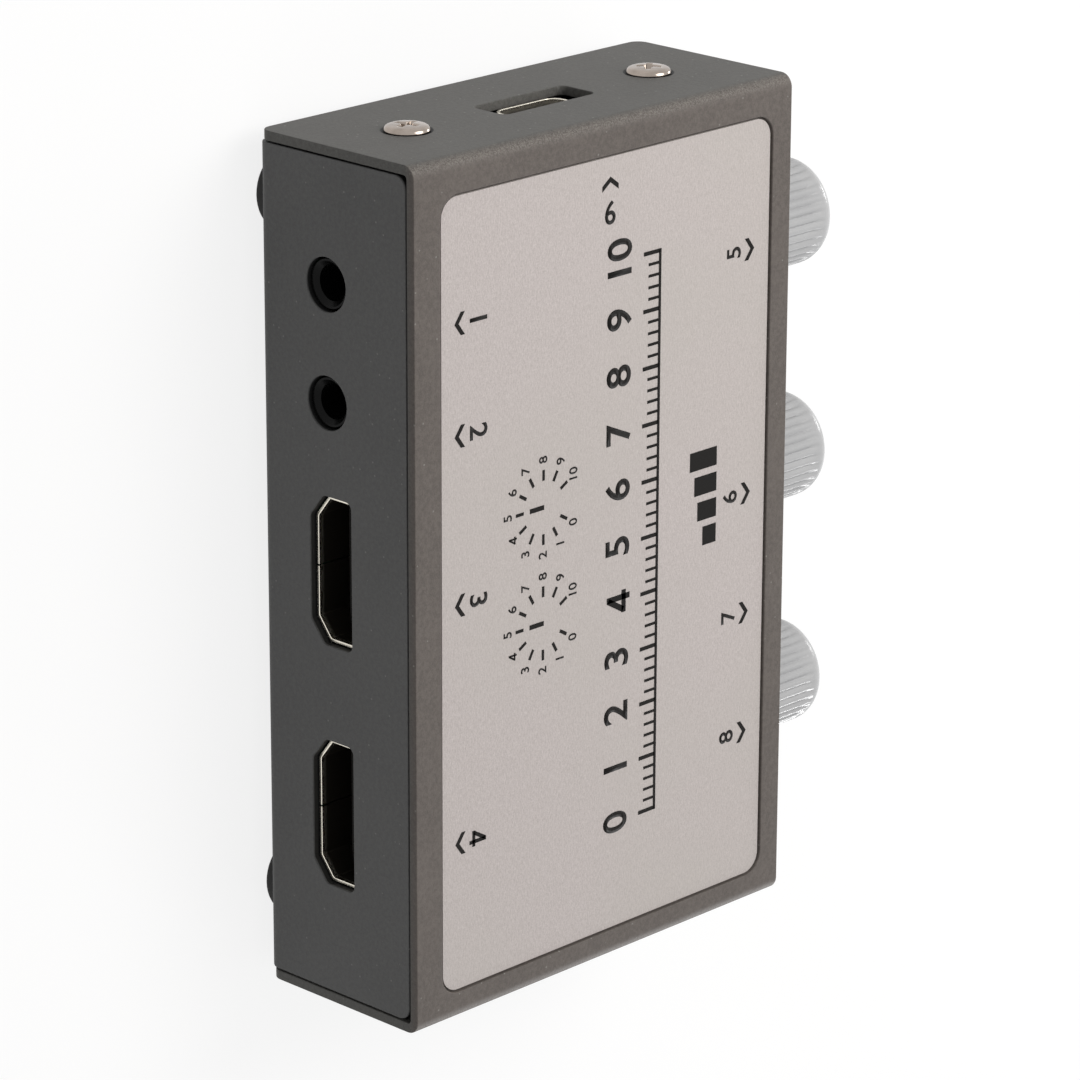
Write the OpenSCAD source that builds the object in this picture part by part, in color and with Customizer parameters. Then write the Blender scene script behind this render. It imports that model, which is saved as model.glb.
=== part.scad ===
// Video capture box: a folded sheet metal tray and cover round one circuit board.
// The box lies flat on its feet, +Z up. +X is the end with the host socket, +Y the side with the
// jacks and video sockets, -Y the side with the level knobs. The origin is on the surface that the
// feet rest on, under the middle of the enclosure.

/* [Enclosure] */
// Length of the enclosure, end face to end face
body_l = 88; // [86:1:104]
// Width of the enclosure, side face to side face
body_w = 53; // [52:1:64]
// Height of the enclosure without its feet
body_h = 21.5; // [21.5:0.5:28]
// Thickness of the sheet metal
sheet_t = 1; // [0.8:0.1:1.2]
// Outer radius of the bends
bend_r = 1.4; // [1.3:0.1:2]
// Seam left between the cover and the tray
seam_gap = 0.2; // [0.1:0.05:0.3]
// Height of the rubber feet
foot_h = 2.2; // [1.5:0.1:4]
// Diameter of the rubber feet
foot_d = 9; // [7:0.5:10]
// Distance of the near feet's centres from the end with the host socket
foot_inset_x = 7.3; // [6:0.1:12]
// Distance of the far feet's centres from the plain end
foot_far_inset = 9.1; // [6:0.1:12]
// Distance of a foot's centre from the side face
foot_inset_y = 5.9; // [5.5:0.1:8]

/* [Label] */
// Bare border between the label recess and the end faces
label_border_x = 3.3; // [2.9:0.1:8]
// Bare border between the label recess and the side faces
label_border_y = 3.1; // [2.6:0.1:8]
// Corner radius of the label
label_r = 2; // [1:0.5:4]
// Depth of the recess that the label lies in
label_recess = 0.5; // [0.3:0.05:0.6]
// Thickness of the label plate
label_t = 0.3; // [0.2:0.05:0.3]
// Play between the label and the edge of its recess
label_play = 0.25; // [0.1:0.05:0.3]
// Shift of the label from the middle towards the plain end
label_shift_x = 0.3; // [0:0.1:0.5]
// Shift of the label from the middle towards the knobs
label_shift_y = 0.4; // [0:0.1:0.5]

/* [Cover screws] */
// Thread diameter of the cover screws
cover_screw_d = 2.5; // [2:0.1:2.8]
// Head diameter of the cover screws
cover_head_d = 4.6; // [4.4:0.1:5.2]
// Distance of each cover screw from the middle of the end face
cover_screw_y = 16.9; // [15:0.1:19]
// Height of the cover screws above the underside
cover_screw_z = 10.8; // [10:0.1:14]
// Width of the ears that the cover screws go into
ear_w = 9; // [7:0.5:10]

/* [Circuit board] */
// Height of the standoffs
standoff_h = 4.4; // [4:0.1:5]
// Diameter of the standoffs
standoff_d = 4.8; // [4.4:0.1:5.2]
// Distance of the standoffs from the end faces
standoff_inset_x = 7.2; // [6.6:0.1:7.6]
// Distance of the standoffs from the side faces
standoff_inset_y = 7.4; // [7:0.1:9]
// Thickness of the circuit board
board_t = 1.6; // [1:0.2:1.6]
// Play between the board and the sheet metal round it
board_play = 0.4; // [0.3:0.05:0.6]
// Thread diameter of the board screws
board_screw_d = 2; // [1.6:0.1:2.2]

/* [Jacks] */
// Distance of the headset jack from the end with the host socket
headset_inset = 13.7; // [13.5:0.1:15]
// Distance of the line jack from the end with the host socket
line_inset = 25.5; // [24:0.1:27]
// Bore of the jacks, for a 3.5 mm plug
jack_bore_d = 3.6; // [3.5:0.05:3.7]
// Outer diameter of a jack's nozzle
nozzle_d = 4.9; // [4.7:0.1:5]
// Play of the nozzle in its hole in the wall
nozzle_play = 0.28; // [0.2:0.02:0.4]
// Depth of a jack's nozzle behind the outer face
nozzle_depth = 0.5; // [0.2:0.1:0.8]

/* [Video sockets] */
// Distance of the video output socket from the end with the host socket
video_out_inset = 42.6; // [42.4:0.1:44]
// Distance of the video input socket from the plain end
video_in_inset = 20.2; // [19.4:0.1:24]
// Width of a video socket's shell
video_w = 15; // [14.8:0.1:15.4]
// Width of the narrow side of the shell
video_narrow_w = 10.5; // [10:0.1:11]
// Height of a video socket's shell
video_h = 5.5; // [5.3:0.1:5.8]
// Radius of the corners of a video socket's shell
video_corner_r = 0.6; // [0.4:0.1:0.8]
// Depth of the shell's rim behind the outer face
video_depth = 0.75; // [0.5:0.05:1.2]
// Depth of a video socket's shell
video_l = 11.3; // [10.5:0.1:12]
// Play between a socket's shell and its window in the wall
window_play = 0.15; // [0.1:0.05:0.3]

/* [Host socket] */
// Place of the host socket across the end face
host_y = -0.4; // [-1:0.1:1]
// Height of the middle of the host socket above the board
host_lift = 3.85; // [3.4:0.05:4.2]
// Width of the host socket's shell
host_w = 8.94; // [8.8:0.02:9.1]
// Thickness of the host socket's shell across its flat sides
host_h = 3.26; // [3.2:0.02:3.4]
// Width of the slot in the end face
host_slot_w = 12.8; // [11.6:0.2:13.4]
// Height of the slot in the end face
host_slot_h = 4.7; // [4.5:0.1:5.4]
// Corner radius of the slot in the end face
host_slot_r = 0.8; // [0.3:0.1:1.5]
// Depth of the host socket's shell behind the outer face
host_depth = 0.7; // [0.4:0.1:1.2]

/* [Level controls] */
// Distance of the first level control from the end with the host socket
control_inset = 17.2; // [16.5:0.1:18]
// Distance of the last level control from the plain end
control_far_inset = 20.4; // [17:0.1:21]
// Height of the control shafts above the board
shaft_lift = 6.3; // [6:0.1:6.6]
// Diameter of the control shafts
shaft_d = 6; // [5.5:0.1:6]
// Running play round a control shaft
shaft_play = 0.05; // [0.02:0.01:0.09]
// Diameter of the knobs
knob_d = 11.3; // [10.6:0.1:12.4]
// Length of the knobs
knob_l = 9.7; // [8:0.1:13]
// Gap between a knob and the side face
knob_gap = 0.8; // [0.6:0.1:1.5]
// Number of ribs round a knob
knob_ribs = 36; // [24:1:40]

/* [Hidden] */
$fn = 48;

// Boxes that are cut away run past the solid by this much
past = 1;
// Clearance between two pieces that are fixed together
fixed_play = 0.02;

// The enclosure's main planes
underside = foot_h;
top_face = underside + body_h;
floor_top = underside + sheet_t;
end_face = body_l / 2;
side_face = body_w / 2;
end_inner = end_face - sheet_t;
side_inner = side_face - sheet_t;
tray_end = end_inner - seam_gap;
wall_top = top_face - sheet_t - seam_gap;

// The label in its recess
recess_l = body_l - 2 * label_border_x;
recess_w = body_w - 2 * label_border_y;
recess_floor = top_face - label_recess;

// The circuit board
board_under = floor_top + standoff_h;
board_top = board_under + board_t;
board_l = 2 * (tray_end - sheet_t - board_play);
board_w = body_w - 2 * (sheet_t + board_play);
board_r = 1.5;
standoff_x = end_face - standoff_inset_x;
standoff_y = side_face - standoff_inset_y;
standoff_shank_d = board_screw_d + 1.2;

// Places along the box
headset_x = end_face - headset_inset;
line_x = end_face - line_inset;
video_out_x = end_face - video_out_inset;
video_in_x = -end_face + video_in_inset;
control_pitch = (body_l - control_inset - control_far_inset) / 2;
control_x = end_face - control_inset - control_pitch;

// The ears and the screws that hold the cover
ear_above_screw = 4;
ear_rise = cover_screw_z + ear_above_screw;
ear_corner_r = 2;
ear_relief = 0.8;
collar_d = cover_screw_d + 1.8;
collar_l = 1.2;
screw_play = 0.05;
screw_hole_d = cover_screw_d + 0.3;
countersink_d = cover_head_d + 0.6;
head_cone = 0.8;
head_dome = 0.7;
screw_l = 4.6;
screw_tip = 0.5;
recess_arm = 2.6;
recess_arm_w = 0.55;
recess_depth = 1.1;
cover_lift = 0.3;
wall_corner_r = 1.4;

// A video socket, measured from the middle of its front edge at the board
video_chamfer = 1.8;
video_sheet = 0.35;
video_front = side_face - video_depth;
video_block_l = 3;
tongue_w = 11.8;
tongue_t = 1.1;
tongue_mid = 2.95;
tongue_setback = 2.15;
video_contact_w = 0.4;
video_contact_t = 0.12;
video_contact_pitch = 1;
video_tail_pitch = 0.5;
video_tail_w = 0.22;
video_tail_t = 0.15;
video_tail_reach = 1.5;
video_tail_rise = 2.2;
video_leg_w = 1.4;
video_leg_y = [-2.6, -8.8];
leg_below = 0.6;
leg_slot_play = 0.25;
leg_overlap = 0.2;

// A jack, measured from the middle of its nozzle's face
jack_front = side_face - nozzle_depth;
jack_body_front = -1.2;
jack_body_l = 11.8;
jack_body_w = 6.4;
jack_body_h = 5;
jack_lift = 2.45;
jack_back = jack_body_front - jack_body_l;
jack_step_l = 2.2;
jack_step_h = 0.5;
mouth_d = jack_bore_d + 0.9;
mouth_cone = 0.45;
spring_slot_h = 1.6;
spring_t = 0.25;
spring_play = 0.15;
spring_clear = 0.08;
spring_y = [[-9.6, -4.4, 1], [-11.6, -6.4, -1]];

// The host socket, measured from the middle of its front edge at its own centre line
host_front = end_face - host_depth;
host_sheet = 0.3;
host_l = 7.9;
host_block_l = 2.4;
host_tongue_w = 6.7;
host_tongue_t = 0.7;
host_tongue_setback = 0.9;
host_contacts_n = 12;
host_contact_pitch = 0.5;
host_contact_w = 0.25;
host_contact_t = 0.05;
host_base_l = 6.4;
host_base_w = 8;
host_leg_w = 1.2;
host_leg_x = [-3.4, -6.8];

// A level control, measured from its shaft's line at the side wall
pot_w = 9.8;
pot_l = 6.2;
pot_behind = 0.3;
pot_front = side_inner - pot_behind;
pot_above_shaft = 4.9;
pot_top = shaft_lift + pot_above_shaft;
pot_chamfer = 1.6;
pot_sheet = 0.5;
collar_w = shaft_d + 1;
collar_proud = 0.3;
collar_play = 0.2;
wafer_t = 1.2;
shaft_in_pot = 4.4;
shaft_flat = shaft_d / 2 - 1.5;
pot_pin_w = 0.8;
pot_pin_t = 0.4;
pot_pin_pitch = 2.5;
pot_pin_hole_d = 1.3;
pot_lug_y = 2.4;
pot_lug_w = 1.2;
pot_lug_hole_d = 1.9;
wafer_below_top = 1.6;

// A knob, measured from its back edge
knob_x = [control_x + control_pitch, control_x, control_x - control_pitch];
knob_axis = board_top + shaft_lift;
knob_back = side_face + knob_gap;
knob_wall = 1.9;
knob_bore_l = knob_l - knob_wall;
knob_edge_r = 2;
knob_rib_l = knob_l - knob_edge_r - 0.2;
knob_groove_r = 0.4;
knob_groove_depth = 0.16;
knob_hollow_l = 1.1;
knob_hollow_w = 1.4;
pointer_l = 2.6;
pointer_w = 0.6;
pointer_depth = 0.25;
shaft_end_play = 0.4;

// The indicator lamp between the middle and the last control
lamp_off_middle = 0.4;
lamp_x = control_x - control_pitch / 2 - lamp_off_middle;
lamp_lift = 2.3;
lamp_w = 3.2;
lamp_l = 1.6;
lamp_h = 3.4;
guide_d = 2.8;
guide_play = 0.1;
guide_l = 3.8;
guide_proud = 0.15;
guide_foot_w = 3.4;
guide_foot_l = 1.6;
guide_foot_above = 0.4;

// What stands on the middle of the board: place along it as a share of its length, place across
// it, then length, width and height
main_chip_at = [-0.145, -1];
main_chip_size = [12, 12, 1];
small_chips_at = [[-0.362, 1, 9, 9, 0.9], [0.236, -1, 6, 6, 0.9], [0.357, -3, 7, 7, 0.9],
    [0.06, -8, 5, 4, 1.5], [-0.024, -11, 5, 4, 1.5]];
capacitors_at = [[0.12, 7.8], [0.15, -9.5], [-0.27, -10]];
capacitor_d = 5;
capacitor_h = 5.4;
capacitor_base_h = 1;
inductors_at = [[0.4, 6.5], [-0.435, -6]];
inductor_w = 4;
inductor_h = 2.2;
inductor_r = 0.8;
crystal_at = [0.04, 2.6];
crystal_l = 10.6;
crystal_w = 4.4;
crystal_h = 3.4;
crystal_rim = 0.4;
crystal_rim_h = 0.6;
dimple_d = 0.9;
dimple_depth = 0.1;
dimple_inset = 1.1;

// Outline of a rectangle with round corners
module round_rect(l, w, r) {
    square([l - 2 * r, w], center = true);
    square([l, w - 2 * r], center = true);
    for (sx = [-1, 1], sy = [-1, 1])
        translate([sx * (l / 2 - r), sy * (w / 2 - r)]) circle(r = r);
}

// Outline of a block on the line y = 0 whose two lower corners are round
module round_foot(w, h, r) {
    translate([-w / 2, r]) square([w, h - r]);
    translate([-w / 2 + r, 0]) square([w - 2 * r, 2 * r]);
    for (s = [-1, 1]) translate([s * (w / 2 - r), r]) circle(r = r);
}

// Outline with these corners, each rounded: two points where its round starts and ends, then the
// round's centre
module round_polygon(points, r) {
    n = len(points);
    corners = [for (i = [0 : n - 1]) let (
        p = points[i],
        back = points[(i + n - 1) % n] - p,
        on = points[(i + 1) % n] - p,
        u = back / norm(back),
        v = on / norm(on),
        half = acos(u * v) / 2)
        [p + u * r / tan(half), p + v * r / tan(half), p + (u + v) / norm(u + v) * r / sin(half)]];
    polygon([for (c = corners, k = [0, 1]) c[k]]);
    for (c = corners) translate(c[2]) circle(r = r);
}

// Outline of a sheet folded up at both sides, open at the top
module channel(w, h) {
    difference() {
        round_foot(w, h, bend_r);
        translate([0, sheet_t]) round_foot(w - 2 * sheet_t, h, bend_r - sheet_t);
    }
}

// Puts an outline drawn in Y and Z on a length of X
module along_x(l) {
    rotate([90, 0, 90]) linear_extrude(height = l, center = true) children();
}

// Puts an outline drawn in X and Z on a depth that runs from y = 0 towards -Y
module inwards_y(l) {
    rotate([90, 0, 0]) linear_extrude(height = l) children();
}

// A round bar or bore along Y, its front face at y = 0, running towards -Y
module bar_y(d, l) {
    rotate([90, 0, 0]) cylinder(d = d, h = l);
}

// A round bar or bore along X, its front face at x = 0, running towards -X
module bar_x(d, l) {
    rotate([0, -90, 0]) cylinder(d = d, h = l);
}

module at_corners(x, y) {
    for (sx = [-1, 1], sy = [-1, 1]) translate([sx * x, sy * y, 0]) children();
}

// Each cover screw's place on an end face, with +X pointing out of the box
module at_cover_screws() {
    for (side = [0, 180], s = [-1, 1])
        rotate([0, 0, side]) translate([end_face, s * cover_screw_y, underside + cover_screw_z])
            children();
}

// The six-cornered outline of a video socket, grown by g on every side
module video_outline(g) {
    slant = (video_w - video_narrow_w) / 2;
    slant_l = sqrt(slant * slant + video_chamfer * video_chamfer);
    wide = video_w / 2 + g;
    narrow = video_narrow_w / 2 + g * (slant_l - slant) / video_chamfer;
    knee = ((slant + g) * video_chamfer - g * slant_l) / slant;
    round_polygon([[-wide, video_h + g], [-wide, knee], [-narrow, -g], [narrow, -g], [wide, knee],
        [wide, video_h + g]], video_corner_r + g);
}

// The outline of the host socket, grown by g on every side
module host_outline(g) {
    round_rect(host_w + 2 * g, host_h + 2 * g, host_h / 2 + g - 0.01);
}

module at_label() { translate([-label_shift_x, -label_shift_y, recess_floor]) children(); }
module at_video_out() { translate([video_out_x, video_front, board_top]) children(); }
module at_video_in() { translate([video_in_x, video_front, board_top]) children(); }
module at_headset() { translate([headset_x, jack_front, board_top + jack_lift]) children(); }
module at_line() { translate([line_x, jack_front, board_top + jack_lift]) children(); }
module at_host() { translate([host_front, host_y, board_top + host_lift]) children(); }
module at_control(i) { translate([knob_x[i], 0, knob_axis]) children(); }

// Enclosure

module ear(s) {
    intersection() {
        translate([0, s * cover_screw_y, 0]) rotate([90, 0, 0])
            linear_extrude(height = ear_w, center = true) translate([0, underside]) difference() {
                round_foot(2 * tray_end, ear_rise, bend_r);
                translate([0, sheet_t])
                    round_foot(2 * (tray_end - sheet_t), ear_rise, bend_r - sheet_t);
            }
        translate([tray_end, s * cover_screw_y, underside + ear_rise / 2 - ear_corner_r])
            along_x(2 * (bend_r + past)) round_rect(ear_w, ear_rise + 2 * ear_corner_r, ear_corner_r);
    }
    translate([tray_end - sheet_t + fixed_play, s * cover_screw_y, underside + cover_screw_z])
        bar_x(collar_d, collar_l + fixed_play);
}

module ear_notch(s) {
    notch = bend_r + 0.6;
    translate([tray_end - notch, s * cover_screw_y - ear_w / 2 - ear_relief, underside - past])
        cube([notch + past, ear_w + 2 * ear_relief, sheet_t + 2 * past]);
}

module tray() {
    color("dimgray") difference() {
        union() {
            difference() {
                intersection() {
                    translate([0, 0, underside]) along_x(2 * tray_end)
                        channel(body_w, body_h - sheet_t - seam_gap);
                    translate([0, 0, wall_top]) mirror([0, 0, 1]) rotate([90, 0, 0])
                        linear_extrude(height = body_w + 2 * past, center = true)
                            round_foot(2 * tray_end, body_h, wall_corner_r);
                }
                for (side = [0, 180], s = [-1, 1]) rotate([0, 0, side]) ear_notch(s);
            }
            for (side = [0, 180], s = [-1, 1]) rotate([0, 0, side]) ear(s);
        }
        at_cover_screws() bar_x(cover_screw_d + 2 * screw_play, 2 * screw_l);
        at_corners(standoff_x, standoff_y) translate([0, 0, underside - past])
            cylinder(d = standoff_shank_d + 2 * fixed_play, h = sheet_t + 2 * past);
        for (x = [video_out_x, video_in_x])
            translate([x, side_face + past, board_top]) inwards_y(sheet_t + 2 * past)
                video_outline(window_play);
        for (x = [headset_x, line_x])
            translate([x, side_face + past, board_top + jack_lift])
                bar_y(nozzle_d + 2 * nozzle_play, sheet_t + 2 * past);
        for (x = knob_x)
            translate([x, -side_inner + past, knob_axis])
                bar_y(collar_w + 2 * collar_play, sheet_t + 2 * past);
        translate([lamp_x, -side_inner + past, board_top + lamp_lift])
            bar_y(guide_d + 2 * guide_play, sheet_t + 2 * past);
    }
}

module cover() {
    color("dimgray") difference() {
        intersection() {
            translate([0, 0, top_face]) mirror([0, 0, 1]) rotate([90, 0, 0])
                linear_extrude(height = body_w, center = true) channel(body_l, body_h);
            translate([0, 0, underside + cover_lift]) along_x(body_l + 2 * past)
                round_foot(body_w, body_h + past, bend_r);
        }
        at_label() linear_extrude(height = label_recess + past)
            round_rect(recess_l, recess_w, label_r + label_play);
        at_cover_screws() {
            translate([past, 0, 0]) bar_x(screw_hole_d, sheet_t + 2 * past);
            translate([past, 0, 0]) bar_x(countersink_d, past);
            rotate([0, -90, 0])
                cylinder(d1 = countersink_d, d2 = screw_hole_d, h = head_cone + fixed_play);
        }
        translate([end_face, host_y, board_top + host_lift]) along_x(2 * (sheet_t + past))
            round_rect(host_slot_w, host_slot_h, host_slot_r);
    }
}

module label_plate() {
    color("silver") at_label() linear_extrude(height = label_t)
        round_rect(recess_l - 2 * label_play, recess_w - 2 * label_play, label_r);
}

module rubber_feet() {
    foot_r = foot_d / 2;
    lip = min(0.6, foot_h / 3);
    color("black") for (x = [end_face - foot_inset_x, -end_face + foot_far_inset], s = [-1, 1])
        translate([x, s * (side_face - foot_inset_y), 0]) rotate_extrude() {
            translate([0, lip]) square([foot_r - lip / 3, foot_h - lip]);
            square([foot_r - lip - lip / 3, lip + 0.01]);
            translate([foot_r - lip - lip / 3, lip]) intersection() {
                circle(r = lip);
                translate([0, -lip]) square([lip, lip]);
            }
            translate([foot_r - lip / 3 - 0.01, foot_h - lip]) square([lip / 3 + 0.01, lip]);
        }
}

module cover_screws() {
    color("gainsboro") at_cover_screws() difference() {
        rotate([0, -90, 0]) rotate_extrude() polygon([[0, 0], [cover_head_d / 2, 0],
            [cover_screw_d / 2, head_cone], [cover_screw_d / 2, screw_l - screw_tip],
            [cover_screw_d / 2 - screw_tip, screw_l], [0, screw_l]]);
        cross_recess();
    }
    color("gainsboro") at_cover_screws() difference() {
        dome_r = (pow(cover_head_d / 2, 2) + head_dome * head_dome) / (2 * head_dome);
        rotate([0, -90, 0]) rotate_extrude() intersection() {
            translate([0, dome_r - head_dome]) circle(r = dome_r, $fn = 96);
            translate([0, -head_dome - past]) square([cover_head_d, head_dome + past]);
        }
        cross_recess();
    }
}

// The cross in a cover screw's head
module cross_recess() {
    for (turn = [0, 90]) rotate([turn, 0, 0])
        translate([head_dome - recess_depth + past, 0, 0])
            cube([2 * past, recess_arm, recess_arm_w], center = true);
}

// Board and its fixings

module standoffs() {
    color("silver") at_corners(standoff_x, standoff_y) difference() {
        union() {
            translate([0, 0, floor_top]) cylinder(d = standoff_d, h = standoff_h);
            translate([0, 0, underside]) cylinder(d = standoff_shank_d, h = sheet_t + past);
        }
        translate([0, 0, underside - past])
            cylinder(d = board_screw_d + 2 * screw_play, h = sheet_t + standoff_h + 2 * past);
    }
}

module circuit_board() {
    color("darkgreen") difference() {
        translate([0, 0, board_under]) linear_extrude(height = board_t)
            round_rect(board_l, board_w, board_r);
        at_corners(standoff_x, standoff_y) translate([0, 0, board_under - past])
            cylinder(d = board_screw_d + 0.3, h = board_t + 2 * past);
        at_video_out() video_legs(leg_slot_play);
        at_video_in() video_legs(leg_slot_play);
        at_host() host_legs(leg_slot_play);
        for (i = [0 : 2]) at_control(i) pot_pin_holes();
    }
}

module board_screws() {
    rim_h = 0.8;
    head_h = 1.3;
    head_r = board_screw_d * 0.95;
    crown_r = board_screw_d * 0.65;
    arm_l = 2;
    arm_w = 0.4;
    arm_depth = 0.5;
    color("silver") at_corners(standoff_x, standoff_y) translate([0, 0, board_top]) difference() {
        union() {
            cylinder(r = head_r, h = rim_h);
            translate([0, 0, rim_h]) cylinder(r1 = head_r, r2 = crown_r, h = head_h - rim_h);
            translate([0, 0, -board_t - standoff_h + screw_tip])
                cylinder(d = board_screw_d, h = board_t + standoff_h);
        }
        for (turn = [0, 90]) rotate([0, 0, turn])
            translate([0, 0, head_h - arm_depth + past])
                cube([arm_l, arm_w, 2 * past], center = true);
    }
}

// Video sockets

module video_legs(g) {
    bottom = -board_t - leg_below - (g > 0 ? past : 0);
    for (s = [-1, 1], y = video_leg_y)
        translate([s * (video_w - video_sheet) / 2 - video_sheet / 2 - g,
            y - video_leg_w / 2 - g, bottom])
            cube([video_sheet + 2 * g, video_leg_w + 2 * g, video_chamfer + leg_overlap - bottom]);
}

module video_spring(x) {
    spring_w = 1.2;
    window_w = 1.8;
    window_l = 4.6;
    window_back = -6.9;
    drop = 0.45;
    difference() {
        children();
        translate([x - window_w / 2, window_back, video_h - video_sheet - past / 2])
            cube([window_w, window_l, video_sheet + past]);
    }
    translate([x - spring_w / 2, 0, 0]) rotate([90, 0, 90]) linear_extrude(height = spring_w)
        polygon([[window_back - 0.05, video_h - video_sheet], [window_back - 0.05, video_h],
            [window_back + 0.3, video_h], [window_back + 3, video_h - drop],
            [window_back + 4.2, video_h - 0.15], [window_back + 4.2, video_h - 0.15 - video_sheet],
            [window_back + 3, video_h - drop - video_sheet]]);
}

module video_shell_sheet() {
    seam_w = 0.14;
    difference() {
        inwards_y(video_l) difference() {
            video_outline(0);
            video_outline(-video_sheet);
        }
        translate([-seam_w / 2, -video_l - past, -past]) cube([seam_w, video_l + 2 * past,
            video_sheet + 2 * past]);
    }
    video_legs(0);
}

module video_shell() {
    spring_x = 3.2;
    color("lightgray") video_spring(spring_x) video_spring(-spring_x) video_shell_sheet();
}

module video_core() {
    color([0.1, 0.1, 0.1]) {
        translate([0, -video_l + video_block_l, 0]) inwards_y(video_block_l)
            video_outline(-video_sheet - fixed_play);
        translate([-tongue_w / 2, -video_l + video_block_l / 2, tongue_mid - tongue_t / 2])
            cube([tongue_w, video_l - video_block_l / 2 - tongue_setback, tongue_t]);
    }
}

module video_contacts() {
    strip_l = video_l - video_block_l - tongue_setback - 0.5;
    color("gold") {
        for (side = [0, 1], i = [0 : 9 - side])
            translate([(i - 4.5 + side / 2) * video_contact_pitch - video_contact_w / 2,
                -video_l + video_block_l,
                side == 0 ? tongue_mid + tongue_t / 2
                    : tongue_mid - tongue_t / 2 - video_contact_t])
                cube([video_contact_w, strip_l, video_contact_t]);
        for (i = [-9 : 9]) translate([i * video_tail_pitch - video_tail_w / 2, -video_l, 0]) {
            translate([0, -video_tail_reach, 0]) cube([video_tail_w, video_tail_reach, video_tail_t]);
            translate([0, -video_tail_t, 0]) cube([video_tail_w, video_tail_t, video_tail_rise]);
        }
    }
}

module video_out_shell() { at_video_out() video_shell(); }
module video_out_core() { at_video_out() video_core(); }
module video_out_contacts() { at_video_out() video_contacts(); }
module video_in_shell() { at_video_in() video_shell(); }
module video_in_core() { at_video_in() video_core(); }
module video_in_contacts() { at_video_in() video_contacts(); }

// Jacks

module jack() {
    color([0.08, 0.08, 0.08]) difference() {
        union() {
            bar_y(nozzle_d, -jack_body_front + fixed_play);
            translate([-jack_body_w / 2, jack_back, -jack_lift])
                cube([jack_body_w, jack_body_l, jack_body_h]);
        }
        translate([0, past, 0]) bar_y(jack_bore_d, 2 * past - jack_back);
        translate([0, past, 0]) bar_y(mouth_d, past);
        rotate([90, 0, 0]) cylinder(d1 = mouth_d, d2 = jack_bore_d, h = mouth_cone);
        for (p = spring_y) translate([p[2] > 0 ? 0 : -jack_body_w, p[0], -spring_slot_h / 2])
            cube([jack_body_w, p[1] - p[0], spring_slot_h]);
        translate([-jack_body_w / 2 - past, jack_back - past, jack_body_h - jack_lift - jack_step_h])
            cube([jack_body_w + 2 * past, past + jack_step_l, jack_step_h + past]);
    }
}

module jack_springs() {
    inner = jack_bore_d / 2 - spring_clear;
    outer = jack_body_w / 2;
    color("gold") for (p = spring_y) mirror([p[2] > 0 ? 0 : 1, 0, 0]) {
        y0 = p[0] + spring_play;
        y1 = p[1] - spring_play;
        translate([0, 0, -spring_slot_h / 2 + spring_play])
            linear_extrude(height = spring_slot_h - 2 * spring_play)
                polygon([[outer, y0], [outer, y0 + spring_t], [inner + 0.9, y0 + spring_t],
                    [inner + spring_t, y1 - 1.4], [inner + 0.8, y1], [inner + 0.8 - spring_t, y1],
                    [inner, y1 - 1.4], [inner + 0.9 - spring_t, y0]]);
        translate([outer, y0, -jack_lift]) cube([spring_t, 1, jack_lift + spring_slot_h / 2]);
    }
}

module headset_jack() { at_headset() jack(); }
module headset_springs() { at_headset() jack_springs(); }
module line_jack() { at_line() jack(); }
module line_springs() { at_line() jack_springs(); }

// Host socket

module host_legs(g) {
    bottom = -host_lift - board_t - leg_below - (g > 0 ? past : 0);
    for (s = [-1, 1], x = host_leg_x)
        translate([x - host_leg_w / 2 - g,
            s * (host_w - host_sheet) / 2 - host_sheet / 2 - g, bottom])
            cube([host_leg_w + 2 * g, host_sheet + 2 * g, -bottom]);
}

module host_shell() {
    color("lightgray") at_host() {
        translate([-host_l / 2, 0, 0]) along_x(host_l) difference() {
            host_outline(0);
            host_outline(-host_sheet);
        }
        host_legs(0);
    }
}

module host_core() {
    drop = host_lift - host_h / 2;
    color([0.1, 0.1, 0.1]) at_host() {
        translate([-host_l + host_block_l / 2, 0, 0]) along_x(host_block_l)
            host_outline(-host_sheet - fixed_play);
        translate([-host_l + host_block_l / 2, -host_tongue_w / 2, -host_tongue_t / 2])
            cube([host_l - host_block_l / 2 - host_tongue_setback, host_tongue_w, host_tongue_t]);
        translate([-host_l + 0.6, -host_base_w / 2, -host_lift])
            cube([host_base_l, host_base_w, drop - fixed_play]);
    }
}

module host_contacts() {
    strip_l = host_l - host_block_l - host_tongue_setback - 0.4;
    color("gold") at_host() for (s = [-1, 1], i = [0 : host_contacts_n - 1])
        translate([-host_l + host_block_l,
            (i - (host_contacts_n - 1) / 2) * host_contact_pitch - host_contact_w / 2,
            s > 0 ? host_tongue_t / 2 : -host_tongue_t / 2 - host_contact_t])
            cube([strip_l, host_contact_w, host_contact_t]);
}

// Level controls

module pot_pin_holes() {
    for (i = [-1 : 1]) translate([i * pot_pin_pitch, -pot_front + pot_l + wafer_t / 2,
        board_under - knob_axis - past]) cylinder(d = pot_pin_hole_d, h = board_t + 2 * past);
    for (s = [-1, 1]) translate([s * (pot_w / 2 - pot_sheet / 2), -pot_front + pot_lug_y,
        board_under - knob_axis - past]) cylinder(d = pot_lug_hole_d, h = board_t + 2 * past);
}

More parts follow.
